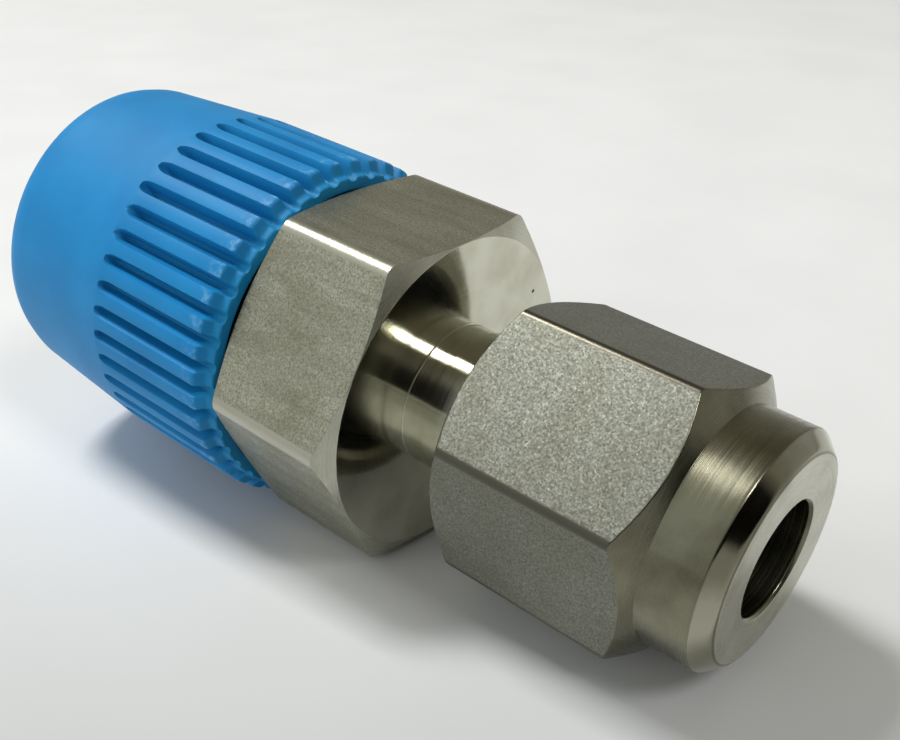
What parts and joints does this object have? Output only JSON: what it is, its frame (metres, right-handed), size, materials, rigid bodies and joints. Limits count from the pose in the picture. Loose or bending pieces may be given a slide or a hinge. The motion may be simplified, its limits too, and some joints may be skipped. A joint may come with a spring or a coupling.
{
  "type": "male tube connector",
  "caption": "Straight stainless tube fitting: a hexagon body with a tapered pipe end under a push-on plastic protector cap, and a union nut with ferrules that grips a tube.",
  "frame": {"origin": "centre of the seat inside the body that the end of the tube rests on", "axes": "X is the axis of the tube and of all turned surfaces, +X leaves by the nut; two flats of the body hexagon face +Z and -Z"},
  "size_m": [0.0477, 0.0206, 0.0206],
  "materials": {
    "body_steel": "satin drawn hexagon, turned neck and end faces",
    "nut_steel": "fine matte grain on the flats, turned hub",
    "ferrule_steel": "smooth turned",
    "cap_blue": "satin moulded polyethylene"
  },
  "bodies": {
    "body": {"connector_body": "body_steel"},
    "ferrules": {"front_ferrule": "ferrule_steel", "back_ferrule": "ferrule_steel"},
    "nut": {"tube_nut": "nut_steel"},
    "cap": {"thread_protector_cap": "cap_blue"}
  },
  "joints": [
    {"name": "nut_travel", "type": "slide", "parent": "body", "child": "ferrules", "axis": [1, 0, 0], "range_m": [0, 0.00763]},
    {"name": "nut_turn", "type": "hinge", "parent": "ferrules", "child": "nut", "pos_m": [0, 0, 0], "axis": [1, 0, 0], "range_deg": [0, 2160]},
    {"name": "cap_pull", "type": "slide", "parent": "body", "child": "cap", "axis": [-1, 0, 0], "range_m": [0, 0.018]}
  ],
  "couplings": [
    {"joint": "nut_travel", "follows": "nut_turn", "m_per_rad": 0.00020213}
  ]
}
